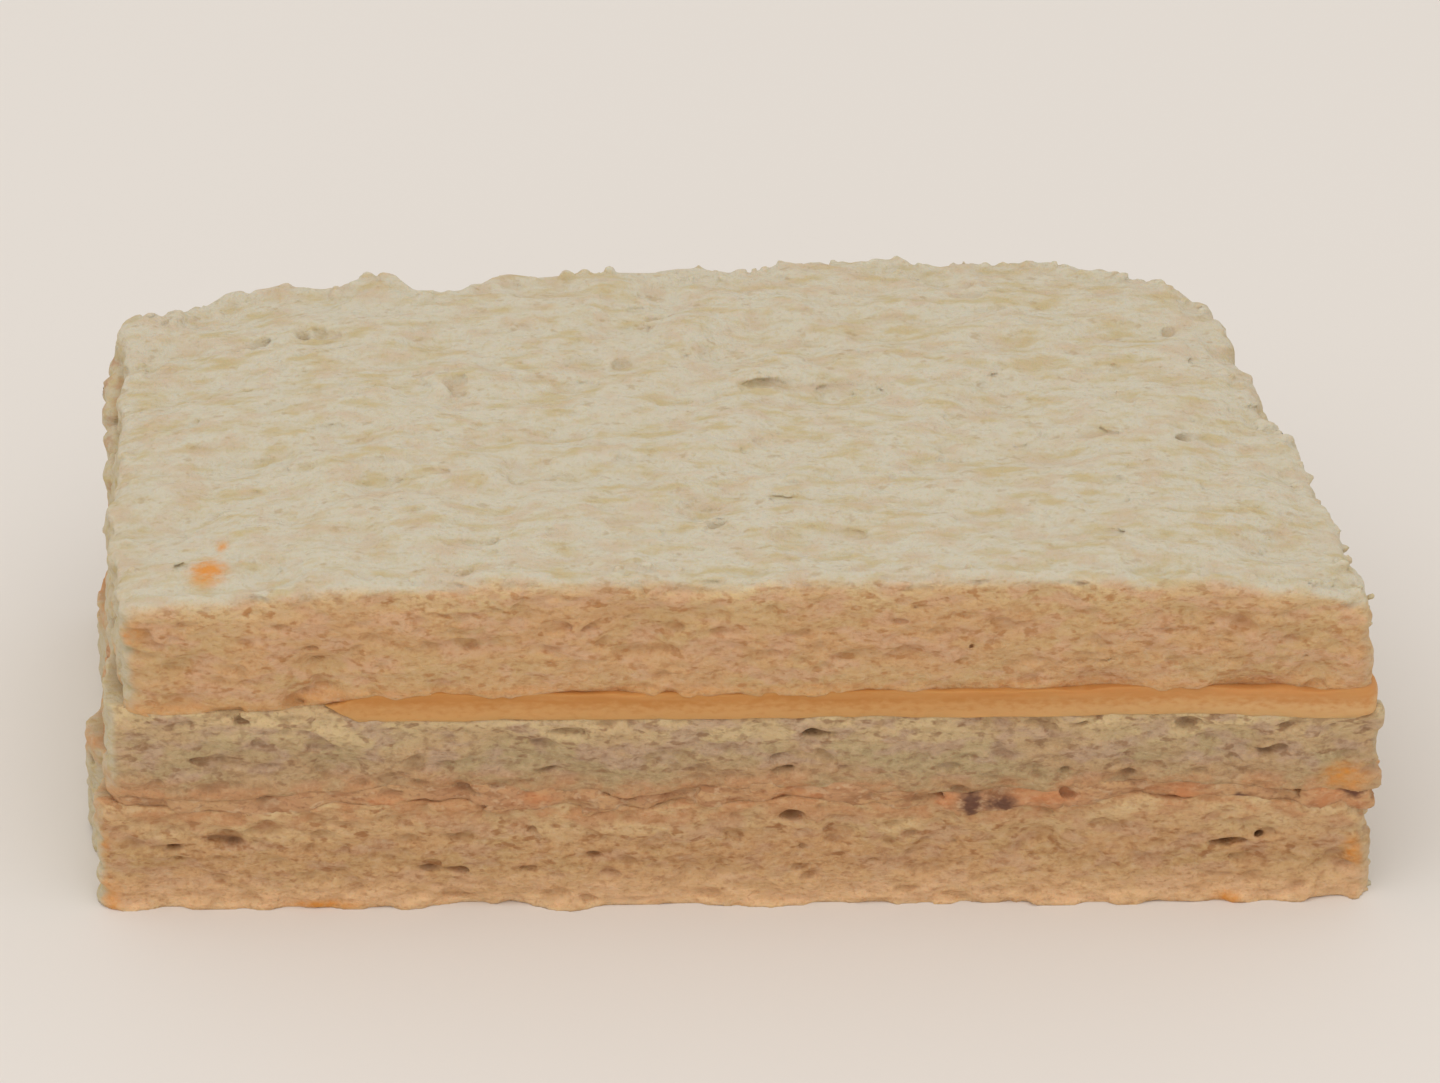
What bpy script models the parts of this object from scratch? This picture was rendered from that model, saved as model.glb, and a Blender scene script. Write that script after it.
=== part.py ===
"""A crustless tuna and cheese sandwich in three slices of white bread.

Half a trimmed slice wide and lying flat, with its long knife cut at the front. From the board up it is
bottom slice, tuna filling, middle slice, cheese slice and top slice. X runs along the cut front, Y from the
cut to the back and Z up, in metres. The origin is the middle of the base.
"""

import math

import bpy
import numpy as np

MM = 0.001

# Plan of a slice, seen from above. The left end is straight, the right end leans in towards the back, and
# the back right corner is the round shoulder of the loaf.
FRONT_Y = -28.0 * MM
PLAN = (
    # corner, and the radius that rounds it
    ((-53.6 * MM, FRONT_Y), 1.8 * MM),
    ((54.9 * MM, FRONT_Y), 1.5 * MM),
    ((40.5 * MM, 29.5 * MM), 18.0 * MM),
    ((-36.0 * MM, 24.8 * MM), 60.0 * MM),
    ((-55.2 * MM, 21.6 * MM), 1.8 * MM),
)
# How far each corner of a slice lies right of the plan's, in the plan's order
BOTTOM_SHIFTS = (-2.5 * MM, 0.0, 0.4 * MM, 0.0, -2.2 * MM)
MIDDLE_SHIFTS = (-1.8 * MM, 1.1 * MM, 0.8 * MM, 0.0, -1.6 * MM)
TOP_SHIFTS = (0.3 * MM, -0.4 * MM, 0.0, 0.0, 0.0)
TUNA_SHIFTS = (-1.6 * MM, 0.1 * MM, 0.4 * MM, 0.0, -1.6 * MM)
CHEESE_END_X = -34.5 * MM
CHEESE_END_LEAN = -2.5 * MM
CHEESE_END_RADIUS = 2.0 * MM
CHEESE_BACK_Y = 24.4 * MM

# Heights of the layers
GAP = 0.3 * MM
BOTTOM_THICK = 10.0 * MM
TUNA_THICK = 1.6 * MM
CHEESE_LOW = 19.6 * MM
CHEESE_THICK = 2.1 * MM
SEAM_Z = 20.3 * MM
TOP_Z = 33.5 * MM

# The filling's waves, the cheese's sag at the right end, and the top's droop over both ends
FILLING_WAVE = 0.45 * MM
FILLING_WAVELENGTH = 32.0 * MM
FILLING_CREST_X = 36.0 * MM
CHEESE_SAG = 0.4 * MM
TOP_LEFT_DROOP = 2.3 * MM
TOP_RIGHT_DROOP = 2.5 * MM
LEFT_DROOP_RUN = (26.0 * MM, 58.0 * MM)
RIGHT_DROOP_RUN = (34.0 * MM, 58.0 * MM)

# How far left of the cheese the slices of bread meet, and where they start to close on each other
SEAM_START = 7.0 * MM
SEAM_END = 0.5 * MM

# The bottom slice lies on the flat of its base, inside its torn rim
FOOT_INSET = 2.6 * MM
FOOT_LIFT = 0.25 * MM
FOOT_TOP_Z = 1.5 * MM

# Softness of the cut edges
BREAD_EDGE = 0.8 * MM
CHEESE_EDGE = 0.4 * MM
TUNA_EDGE = 0.5 * MM

# Bites out of the top slice's torn back edge: place along X, half width and depth
BACK_NOTCHES = (
    (-24.5 * MM, 3.4 * MM, 2.0 * MM),
    (-51.5 * MM, 2.0 * MM, 1.6 * MM),
    (1.5 * MM, 3.0 * MM, 0.8 * MM),
)

# Along Y, the start of the back side and where a bite has its full depth
BACK_SIDE = (10.0 * MM, 16.0 * MM)

# Relief of the bread. A wave is a height and a wavelength, and a pore is a size and a depth.
TORN_RIM = ((0.35 * MM, 16.0 * MM), (0.22 * MM, 6.0 * MM))
TORN_SHARE_OF_CUT = 0.25
CRUMB_SWELL = (0.18 * MM, 9.0 * MM)
RIM_PORE = (1.5 * MM, 0.9 * MM)
TOP_PORE = (2.0 * MM, 0.7 * MM)
RIM_PORES = 90
TOP_PORES = 130

# Relief of the filling: its flakes, and how far they may stop short of the bread or poke out of it
CHEESE_RIM = (0.15 * MM, 14.0 * MM)
CHEESE_FACE = (0.08 * MM, 7.0 * MM)
CHEESE_INSET = 0.3 * MM
FLAKES = ((0.5 * MM, 11.0 * MM), (0.4 * MM, 4.5 * MM))
FLAKE_REACH = (-1.1 * MM, 1.0 * MM)
FLAKE_SHARE_OF_CUT = 0.45
FLAKE_FACE = (0.3 * MM, 3.2 * MM)

# Where the knife cut gives way to the torn sides, along Y
CUT_ENDS = (FRONT_Y + 1.0 * MM, FRONT_Y + 6.0 * MM)

# Cells of a slab along X, along Y and up its rim, and the triangles that are left of them
BREAD_CELLS = (84, 42, 9)
CHEESE_CELLS = (60, 30, 4)
TUNA_CELLS = (90, 44, 4)
BOTTOM_TRIANGLES = 3000
TUNA_TRIANGLES = 2400
MIDDLE_TRIANGLES = 2600
CHEESE_TRIANGLES = 900
TOP_TRIANGLES = 4800

# Finish of the four materials: colour, roughness
CRUMB = ((0.63, 0.50, 0.34, 1.0), 0.95)
CUT_CRUMB = ((0.50, 0.33, 0.18, 1.0), 0.95)
CHEESE = ((0.62, 0.33, 0.11, 1.0), 0.45)
TUNA = ((0.42, 0.22, 0.12, 1.0), 0.8)


def ramp(value, start, end):
    """0 before start and 1 after end, with a smooth step between them."""
    share = np.clip((value - start) / (end - start), 0.0, 1.0)
    return share * share * (3.0 - 2.0 * share)


# Heights of the faces along X


def bottom_slice_low(x):
    return np.full_like(x, FOOT_LIFT)


def bottom_slice_top(x):
    return BOTTOM_THICK + FILLING_WAVE * np.cos(2 * math.pi * (x - FILLING_CREST_X) / FILLING_WAVELENGTH)


def tuna_low(x):
    return bottom_slice_top(x) + GAP


def tuna_top(x):
    return tuna_low(x) + TUNA_THICK


def middle_slice_low(x):
    return tuna_top(x) + GAP


def under_cheese(x):
    return CHEESE_LOW - CHEESE_SAG * ramp(x, *RIGHT_DROOP_RUN)


def cheese_top(x):
    return under_cheese(x) + CHEESE_THICK


def past_cheese(x):
    """1 left of the cheese slice's end, where the two slices of bread meet."""
    return 1.0 - ramp(x, CHEESE_END_X - SEAM_START, CHEESE_END_X - SEAM_END)


def middle_slice_top(x):
    seat = under_cheese(x) - GAP
    return seat + (SEAM_Z - GAP / 2 - seat) * past_cheese(x)


def top_slice_low(x):
    roof = cheese_top(x) + GAP
    return roof + (SEAM_Z + GAP / 2 - roof) * past_cheese(x)


def top_slice_top(x):
    return TOP_Z - TOP_LEFT_DROOP * ramp(-x, *LEFT_DROOP_RUN) - TOP_RIGHT_DROOP * ramp(x, *RIGHT_DROOP_RUN)


# Plan outlines


def rounded_outline(corners, spacing=0.25 * MM):
    """The closed outline through the corners, each rounded by its radius, and the middle of each rounding."""
    points, middles = [], []
    places = [np.array(place) for place, _ in corners]
    for i, (_, radius) in enumerate(corners):
        here, before, after = places[i], places[i - 1], places[(i + 1) % len(places)]
        back = (before - here) / np.linalg.norm(before - here)
        on = (after - here) / np.linalg.norm(after - here)
        half = math.acos(np.clip(back @ on, -1.0, 1.0)) / 2
        inward = (back + on) / np.linalg.norm(back + on)
        centre = here + inward * radius / math.sin(half)
        start = here + back * radius / math.tan(half) - centre
        turn = math.pi - 2 * half
        steps = max(4, math.ceil(radius * turn / spacing))
        middles.append(len(points) + steps // 2)
        for step in range(steps + 1):
            angle = turn * step / steps
            spin = np.array([[math.cos(angle), -math.sin(angle)], [math.sin(angle), math.cos(angle)]])
            points.append(centre + spin @ start)
    return np.array(points), middles


def shifted_plan(shifts):
    return [((x + shift, y), radius) for ((x, y), radius), shift in zip(PLAN, shifts)]


def stretch(points, first, last, count):
    """count + 1 points, evenly spaced along the closed outline from one index to another."""
    run = np.arange(first, last + 1 if last > first else last + 1 + len(points)) % len(points)
    path = points[run]
    length = np.concatenate([[0.0], np.cumsum(np.linalg.norm(np.diff(path, axis=0), axis=1))])
    wanted = np.linspace(0.0, length[-1], count + 1)
    return np.stack([np.interp(wanted, length, path[:, axis]) for axis in (0, 1)], axis=1)


def four_sides(corners, columns, rows):
    """The outline as front, right, back and left sides, each with its own number of cells."""
    points, middles = rounded_outline(corners)
    front_left, front_right, back_right, back_left = middles[0], middles[1], middles[2], middles[-1]
    return (
        stretch(points, front_left, front_right, columns),
        stretch(points, front_right, back_right, rows),
        stretch(points, back_right, back_left, columns),
        stretch(points, back_left, front_left, rows),
    )


def loop_of(sides):
    """The sides as one closed loop, anticlockwise from the front left corner."""
    return np.concatenate([side[:-1] for side in sides])


def outward(loop):
    """The unit normal at each point of an anticlockwise loop."""
    along = np.roll(loop, -1, axis=0) - np.roll(loop, 1, axis=0)
    normal = np.stack([along[:, 1], -along[:, 0]], axis=1)
    return normal / np.linalg.norm(normal, axis=1, keepdims=True)


def sides_of(loop, columns, rows):
    """The closed loop cut back into its four sides."""
    closed = np.concatenate([loop, loop[:1]])
    ends = np.cumsum([0, columns, rows, columns, rows])
    return [closed[a : b + 1] for a, b in zip(ends[:-1], ends[1:])]


def fill_plan(loop, columns, rows):
    """A grid of points that fills the loop: the Coons patch of its four sides, as rows x columns x 2."""
    front, right, back, left = sides_of(loop, columns, rows)
    back, left = back[::-1], left[::-1]
    u = np.linspace(0.0, 1.0, columns + 1)[None, :, None]
    v = np.linspace(0.0, 1.0, rows + 1)[:, None, None]
    across = (1 - v) * front[None] + v * back[None]
    along = (1 - u) * left[:, None] + u * right[:, None]
    corner = (1 - v) * ((1 - u) * front[0] + u * front[-1]) + v * ((1 - u) * back[0] + u * back[-1])
    return across + along - corner


# Relief


def ripples(points, draw, wave, count=14):
    """A smooth uneven field over 3-D points, of about the wave's height: waves in random directions."""
    height, wavelength = wave
    total = np.zeros(len(points))
    for _ in range(count):
        direction = draw.normal(size=3)
        direction /= np.linalg.norm(direction) * wavelength * draw.uniform(0.7, 1.5)
        total += np.cos(2 * math.pi * (points @ direction) + draw.uniform(0, 2 * math.pi))
    return height * total / math.sqrt(count / 2)


def cut_to_torn(y):
    """0 on the knife cut and 1 on the torn sides."""
    return ramp(y, *CUT_ENDS)


def pore_dents(points, draw, places, pore):
    """How deep each point is sunk by pores at the places. A pore is longest along X."""
    size, depth = pore
    sunk = np.zeros(len(points))
    for place in places:
        across = size * draw.lognormal(0.0, 0.35)
        radii = across * np.array([draw.uniform(1.1, 1.9), 1.0, draw.uniform(0.6, 0.9)])
        apart = (((points - place) / radii) ** 2).sum(axis=1)
        sunk = np.maximum(sunk, depth * draw.uniform(0.5, 1.2) * np.clip(1 - apart, 0, 1) ** 0.7)
    return sunk


# Building


def slab_faces(columns, rows, rings):
    """Quads of a closed slab: the lower grid, the upper grid, and the rim between their edges."""
    per_grid = (columns + 1) * (rows + 1)
    grid = np.arange(per_grid).reshape(rows + 1, columns + 1)
    upper = grid + per_grid
    edge = [grid[0, :-1], grid[:-1, -1], grid[-1, :0:-1], grid[:0:-1, 0]]
    low_loop = np.concatenate(edge)
    around = len(low_loop)
    ring = [low_loop]
    ring += [2 * per_grid + k * around + np.arange(around) for k in range(rings)]
    ring += [low_loop + per_grid]
    faces = []
    for j in range(rows):
        for i in range(columns):
            a, b, c, d = grid[j, i], grid[j, i + 1], grid[j + 1, i + 1], grid[j + 1, i]
            faces.append((d, c, b, a))
            faces.append(tuple(upper[j + a_j, i + a_i] for a_j, a_i in ((0, 0), (0, 1), (1, 1), (1, 0))))
    for lower, higher in zip(ring[:-1], ring[1:]):
        for i in range(around):
            n = (i + 1) % around
            faces.append((lower[i], lower[n], higher[n], higher[i]))
    return [tuple(int(index) for index in face) for face in faces]


def on_rim(points, columns, rows):
    """Which points of a slab lie on its rim, and not on its lower or upper grid."""
    return np.arange(len(points)) >= 2 * (columns + 1) * (rows + 1)


def slab_points(loop, columns, rows, rings, low, high, edge):
    """Points of a slab with softly rounded edges, and the direction that each may be sunk or swollen in."""
    normal = outward(loop)
    inner = loop - normal * edge
    plan = fill_plan(inner, columns, rows).reshape(-1, 2)
    lower = np.column_stack([plan, low(plan[:, 0])])
    upper = np.column_stack([plan, high(plan[:, 0])])
    points = [lower, upper]
    lifts = [np.zeros_like(lower), np.tile([0.0, 0.0, 1.0], (len(upper), 1))]
    for k in range(rings):
        share = (k + 0.5) / rings
        floor, roof = low(loop[:, 0]), high(loop[:, 0])
        height = floor + (roof - floor) * share
        near_edge = np.minimum(height - floor, roof - height)
        depth = np.clip(edge - near_edge, 0.0, edge)
        inset = edge - np.sqrt(np.clip(edge**2 - depth**2, 0.0, None))
        points.append(np.column_stack([loop - normal * inset[:, None], height]))
        lifts.append(np.column_stack([normal, np.zeros(len(loop))]))
    return np.concatenate(points), np.concatenate(lifts)


def material(name, look):
    colour, roughness = look
    made = bpy.data.materials.new(name)
    made.use_nodes = True
    shader = made.node_tree.nodes["Principled BSDF"]
    shader.inputs["Base Color"].default_value = colour
    shader.inputs["Roughness"].default_value = roughness
    shader.inputs["Metallic"].default_value = 0.0
    return made


def solid(name, points, faces, finish, triangles):
    """One closed object of about so many triangles, which the Decimate spends where the relief is."""
    mesh = bpy.data.meshes.new(name)
    mesh.from_pydata(points.tolist(), [], faces)
    mesh.materials.append(finish)
    made = bpy.data.objects.new(name, mesh)
    bpy.context.scene.collection.objects.link(made)
    mesh.shade_smooth()
    fewer = made.modifiers.new("fewer", "DECIMATE")
    fewer.ratio = triangles / (2 * len(faces))
    return made


def bread_slice(name, shifts, low, high, finish, triangles, seed, top_pores=0, notches=()):
    """A slice of bread. Only what shows is rough: the rim, and the upper face where it has pores."""
    draw = np.random.default_rng(seed)
    columns, rows, rings = BREAD_CELLS
    loop = loop_of(four_sides(shifted_plan(shifts), columns, rows))
    ragged = np.column_stack([loop, np.zeros(len(loop))])
    torn = sum(ripples(ragged, draw, wave) for wave in TORN_RIM)
    torn *= TORN_SHARE_OF_CUT + (1 - TORN_SHARE_OF_CUT) * cut_to_torn(loop[:, 1])
    for place, half_width, depth in notches:
        near = np.clip(1 - ((loop[:, 0] - place) / half_width) ** 2, 0, 1)
        torn -= depth * near * ramp(loop[:, 1], *BACK_SIDE)
    loop = loop + outward(loop) * torn[:, None]
    points, lifts = slab_points(loop, columns, rows, rings, low, high, BREAD_EDGE)

    swollen = ripples(points, draw, CRUMB_SWELL)
    rim = on_rim(points, columns, rows)
    places = points[draw.choice(np.flatnonzero(rim), RIM_PORES, replace=False)]
    sunk = pore_dents(points, draw, places, RIM_PORE)
    if top_pores:
        on_top = ~rim & (lifts[:, 2] > 0)
        places = points[draw.choice(np.flatnonzero(on_top), top_pores, replace=False)]
        sunk = np.maximum(sunk, pore_dents(points, draw, places, TOP_PORE))
    else:
        lifts[~rim] = 0.0
    points = points + lifts * (swollen - sunk)[:, None]
    return solid(name, points, slab_faces(columns, rows, rings), finish, triangles)


def cheese_slice(name, finish, triangles):
    """A processed cheese slice, 90 mm long, cut with the bread. It stops short of the bread's left end."""
    draw = np.random.default_rng(5)
    columns, rows, rings = CHEESE_CELLS
    _, (front_right, front_radius), back_right, _, _ = PLAN
    corners = (
        ((CHEESE_END_X, FRONT_Y + CHEESE_INSET), CHEESE_END_RADIUS),
        ((front_right[0], FRONT_Y + CHEESE_INSET), front_radius),
        back_right,
        ((CHEESE_END_X + CHEESE_END_LEAN, CHEESE_BACK_Y), CHEESE_END_RADIUS),
    )
    loop = loop_of(four_sides(corners, columns, rows))
    edge = np.column_stack([loop, np.zeros(len(loop))])
    loop = loop + outward(loop) * ripples(edge, draw, CHEESE_RIM)[:, None]
    points, lifts = slab_points(loop, columns, rows, rings, under_cheese, cheese_top, CHEESE_EDGE)
    lifts[~on_rim(points, columns, rows)] = 0.0
    points = points + lifts * ripples(points, draw, CHEESE_FACE)[:, None]
    return solid(name, points, slab_faces(columns, rows, rings), finish, triangles)


def tuna_filling(name, finish, triangles):
    """The thin spread of flaked tuna. Its flakes poke out of the sides in places and stop short in others."""
    draw = np.random.default_rng(11)
    columns, rows, rings = TUNA_CELLS
    loop = loop_of(four_sides(shifted_plan(TUNA_SHIFTS), columns, rows))
    edge = np.column_stack([loop, np.zeros(len(loop))])
    flakes = np.clip(sum(ripples(edge, draw, wave) for wave in FLAKES), *FLAKE_REACH)
    flakes *= FLAKE_SHARE_OF_CUT + (1 - FLAKE_SHARE_OF_CUT) * cut_to_torn(loop[:, 1])
    loop = loop + outward(loop) * flakes[:, None]
    points, lifts = slab_points(loop, columns, rows, rings, tuna_low, tuna_top, TUNA_EDGE)
    lifts[~on_rim(points, columns, rows)] = 0.0
    points = points + lifts * ripples(points, draw, FLAKE_FACE)[:, None]
    return solid(name, points, slab_faces(columns, rows, rings), finish, triangles)


def add_foot(made, shifts):
    """Joins the flat of the base to the bottom slice: a plate with one corner in each corner of the slice."""
    points, middles = rounded_outline(shifted_plan(shifts))
    corners = (points - outward(points) * FOOT_INSET)[middles]
    count = len(corners)
    low = [(x, y, 0.0) for x, y in corners]
    high = [(x, y, FOOT_TOP_Z) for x, y in corners]
    sides = [(i, (i + 1) % count, (i + 1) % count + count, i + count) for i in range(count)]
    mesh = bpy.data.meshes.new("foot")
    mesh.from_pydata(low + high, [], [tuple(range(count))[::-1], tuple(range(count, 2 * count)), *sides])
    foot = bpy.data.objects.new("foot", mesh)
    foot.hide_render = True
    foot.display_type = "WIRE"
    bpy.context.scene.collection.objects.link(foot)
    union = made.modifiers.new("foot", "BOOLEAN")
    union.operation = "UNION"
    union.solver = "EXACT"
    union.object = foot
    foot.parent = made


def centre_on_base(solids):
    """Moves the whole so that the origin is the middle of its box's base."""
    graph = bpy.context.evaluated_depsgraph_get()
    corners = np.array([corner for made in solids for corner in made.evaluated_get(graph).bound_box])
    middle = (corners.min(axis=0) + corners.max(axis=0)) / 2
    for made in solids:
        made.location = (-middle[0], -middle[1], -corners[:, 2].min())


def main():
    for old in list(bpy.data.objects):
        bpy.data.objects.remove(old)
    crumb = material("white_crumb", CRUMB)
    cut_crumb = material("cut_crumb", CUT_CRUMB)
    bottom = bread_slice(
        "bottom_slice", BOTTOM_SHIFTS, bottom_slice_low, bottom_slice_top, cut_crumb, BOTTOM_TRIANGLES, seed=3
    )
    add_foot(bottom, BOTTOM_SHIFTS)
    tuna = tuna_filling("tuna_filling", material("tuna", TUNA), TUNA_TRIANGLES)
    middle = bread_slice(
        "middle_slice", MIDDLE_SHIFTS, middle_slice_low, middle_slice_top, cut_crumb, MIDDLE_TRIANGLES, seed=7
    )
    cheese = cheese_slice("cheese_slice", material("cheese", CHEESE), CHEESE_TRIANGLES)
    top = bread_slice(
        "top_slice", TOP_SHIFTS, top_slice_low, top_slice_top, crumb, TOP_TRIANGLES, seed=1,
        top_pores=TOP_PORES, notches=BACK_NOTCHES,
    )
    solids = [bottom, tuna, middle, cheese, top]
    centre_on_base(solids)


main()
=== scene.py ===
"""The looks of a crustless tuna and cheese sandwich: three slices of white crumb, cheese and tuna.

Each layer is made from the form of its solid. Crumb relief, gas cells and flakes are worked into that form
where it shows, and the surface that is left is meshed. Sizes are in metres; +X runs along the cut front,
+Y from the cut front to the back, and +Z up through the layers.
"""

import math

import bpy
import numpy as np
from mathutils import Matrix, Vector
from mathutils.bvhtree import BVHTree


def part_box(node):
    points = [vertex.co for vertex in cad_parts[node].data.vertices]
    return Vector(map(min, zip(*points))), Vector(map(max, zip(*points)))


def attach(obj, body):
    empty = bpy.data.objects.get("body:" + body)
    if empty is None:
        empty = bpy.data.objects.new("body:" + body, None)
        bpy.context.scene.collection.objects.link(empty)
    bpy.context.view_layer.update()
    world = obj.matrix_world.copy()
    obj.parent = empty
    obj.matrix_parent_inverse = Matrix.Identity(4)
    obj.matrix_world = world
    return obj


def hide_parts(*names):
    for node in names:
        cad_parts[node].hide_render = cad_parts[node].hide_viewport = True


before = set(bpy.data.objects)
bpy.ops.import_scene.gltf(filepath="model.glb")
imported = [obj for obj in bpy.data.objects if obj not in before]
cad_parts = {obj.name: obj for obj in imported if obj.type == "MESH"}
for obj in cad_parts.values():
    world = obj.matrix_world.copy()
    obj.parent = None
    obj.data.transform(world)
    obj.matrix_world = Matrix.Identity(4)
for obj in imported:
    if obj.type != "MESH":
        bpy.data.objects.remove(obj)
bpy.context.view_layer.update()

# The solids, from the lowest up, are read here, before the pieces replace them
LAYERS = ("bottom_slice", "tuna_filling", "middle_slice", "cheese_slice", "top_slice")
graph = bpy.context.evaluated_depsgraph_get()
solid_trees = {node: BVHTree.FromObject(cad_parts[node], graph) for node in LAYERS}
boxes = {node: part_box(node) for node in LAYERS}
LOWEST = [min(low[axis] for low, _ in boxes.values()) for axis in range(3)]
HIGHEST = [max(high[axis] for _, high in boxes.values()) for axis in range(3)]

MM = 0.001

# The photograph: its size in pixels, the view down on the cut front, the scale at the front's foot, and the
# pixel where the middle of that foot lies
PHOTO_WIDTH, PHOTO_HEIGHT = 1440, 1083
VIEW_DOWN = math.radians(32.0)
VIEW_TURN = math.radians(0.9)
CAMERA_DISTANCE = 0.8
PIXELS_PER_METRE = 11450.0
FRONT_FOOT_PIXEL = (735.0, 906.0)

FLOOR_SIZE = 3.0
WARM_WHITE = (1.0, 0.97, 0.93)
WINDOW_PLACE, WINDOW_SIZE, WINDOW_WATTS = (-0.12, -0.45, 1.1), 1.5, 6.5
ROOM_LIGHT = 0.7

# Spacing of the grids that the layers are carved on: along X, along Y at the cut and further back, up Z
FINE_X = 0.30 * MM
CUT_Y, FAR_Y = 0.17 * MM, 0.32 * MM
FINE_Z = 0.20 * MM
# How far behind the cut the fine spacing goes, and how far the grids go past the solids
CUT_DEPTH = 2.5 * MM
MARGIN = 1.2 * MM
# Spacing of the places where the distance to a solid is measured
FORM_SPACING = (0.8 * MM, 0.8 * MM, 0.5 * MM)

# The layers are stretched past their faces, so that their rounded edges lie beyond the seams, and then
# trimmed at the seams, with a small overlap. The bottom one is trimmed at the table.
STRETCH = 1.4 * MM
# For each seam, from the lowest up: how far the layers reach past it, and how far it strays from its level
OVERLAPS = (0.4 * MM, 0.4 * MM, 0.12 * MM, 0.2 * MM)
SEAM_STRAY = (0.16 * MM, 0.16 * MM, 0.06 * MM, 0.1 * MM)
# The cheese's left end is drawn out by this much, less and less between two places right of the solid's end
CHEESE_REACH = 2.4 * MM
REACH_FADE = (2.0 * MM, 16.0 * MM)
# Between these two places, also from the solid's left end, the bread parts over the cheese
CHEESE_END = (0.6 * MM, 4.0 * MM)

# One knife cut made the front of all layers: each is moved forward past it, less and less between two places
# behind it, and sliced off level
FORWARD = {node: 0.45 * MM for node in LAYERS} | {"cheese_slice": 0.85 * MM}
FORWARD_FADE = (1.5 * MM, 8.0 * MM)
CUT_PLANE = boxes["bottom_slice"][0].y + 0.05 * MM

# Seeds of the uneven fields that all layers share
COARSE_SEED, FINE_SEED, HOLLOW_SEED, RAGGED_SEED, TATTER_SEED, RUFFLE_SEED, FOOT_SEED = range(101, 108)
SEAM_SEED = 110

# How many small gas cells the cut front has, and each slice's sides and the top face, and how many tufts
# each slice's torn sides have and flakes the tuna
SMALL_PORES, SIDE_CELLS, TOP_CELLS = 1000, 420, 450
TUFTS, FLAKES = 900, 80
# How uneven the walls of all cells are, and how deep the small cells of the top face may go
RUFFLE = 0.11 * MM
TOP_CELL_DEPTH = 0.25 * MM

# The most triangles of each piece
TRIANGLES = {
    "top_slice": 195000,
    "middle_slice": 150000,
    "bottom_slice": 160000,
    "cheese_slice": 30000,
    "tuna_filling": 90000,
}

# The largest pores of each cut face, in millimetres: x, z, half length, half height, depth, rise per length
TOP_SLICE_PORES = (
    (43.9, 28.6, 1.3, 0.75, 0.75, -0.45),
    (9.8, 26.1, 1.0, 0.7, 0.7, 0.0),
    (15.3, 26.2, 1.3, 0.6, 0.7, 0.0),
    (25.6, 25.2, 1.0, 0.5, 0.7, 0.0),
    (30.3, 25.7, 1.0, 0.35, 0.6, 0.1),
    (46.8, 25.9, 1.2, 0.4, 0.7, 0.0),
    (23.2, 27.6, 1.0, 0.4, 0.5, 0.1),
    (-39.2, 29.0, 1.2, 0.35, 0.6, 0.1),
    (-34.3, 27.4, 0.9, 0.45, 0.6, 0.0),
    (-28.0, 26.8, 1.0, 0.4, 0.5, 0.0),
    (-1.0, 28.3, 1.3, 0.35, 0.6, 0.0),
    (-6.3, 26.4, 1.4, 0.4, 0.6, 0.0),
    (-16.6, 26.6, 1.4, 0.35, 0.6, 0.0),
    (-9.2, 25.2, 0.9, 0.5, 0.6, 0.0),
    (-16.8, 30.2, 1.6, 0.3, 0.5, 0.15),
    (51.6, 26.4, 1.0, 0.5, 0.6, 0.2),
)
MIDDLE_SLICE_PORES = (
    (-42.6, 19.5, 0.9, 0.45, 0.9, 0.0),
    (-39.6, 19.6, 0.9, 0.4, 0.8, 0.0),
    (-47.4, 19.2, 1.2, 0.35, 0.6, 0.2),
    (-44.5, 15.3, 0.5, 0.35, 0.8, 0.0),
    (-29.8, 13.5, 1.3, 0.6, 0.8, 0.1),
    (-27.6, 14.6, 0.8, 0.4, 0.6, 0.2),
    (-32.5, 12.8, 0.9, 0.6, 0.9, 0.2),
    (-45.3, 12.8, 1.2, 0.7, 0.5, 0.0),
    (-19.0, 17.9, 1.2, 0.4, 0.8, 0.0),
    (-14.6, 18.0, 1.6, 0.35, 0.9, 0.0),
    (7.9, 17.6, 1.4, 0.25, 0.9, -0.05),
    (-5.2, 15.8, 1.2, 0.4, 0.7, -0.1),
    (-16.2, 13.9, 0.95, 0.4, 1.4, 0.15),
    (-19.0, 12.9, 1.0, 0.5, 0.9, -0.1),
    (-2.8, 13.1, 1.2, 0.5, 1.1, 0.05),
    (4.0, 13.9, 2.0, 0.5, 1.2, 0.0),
    (7.6, 15.4, 1.2, 0.6, 0.8, -0.3),
    (9.4, 14.2, 0.9, 0.4, 0.8, -0.3),
    (-7.3, 15.1, 1.3, 0.6, 0.6, 0.0),
    (30.4, 18.6, 0.9, 0.3, 1.0, 0.35),
    (26.4, 18.7, 1.0, 0.3, 0.8, 0.0),
    (36.2, 17.6, 1.0, 0.55, 0.8, 0.3),
    (39.1, 18.3, 1.1, 0.65, 1.8, 0.0),
    (36.6, 14.4, 1.9, 0.9, 0.9, 0.0),
    (34.0, 13.2, 0.8, 0.45, 1.1, 0.0),
    (28.4, 13.8, 0.6, 0.45, 0.9, 0.0),
    (25.8, 14.2, 0.9, 0.45, 0.8, 0.0),
    (46.7, 15.6, 1.6, 0.45, 1.1, 0.35),
    (44.0, 15.6, 1.2, 0.4, 0.8, 0.3),
    (48.0, 18.2, 1.1, 0.45, 0.9, 0.3),
    (52.1, 16.9, 1.6, 0.7, 0.4, 0.25),
    (45.2, 13.2, 1.0, 0.35, 0.8, -0.1),
    (18.7, 14.2, 0.8, 0.4, 0.7, 0.0),
)
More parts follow.
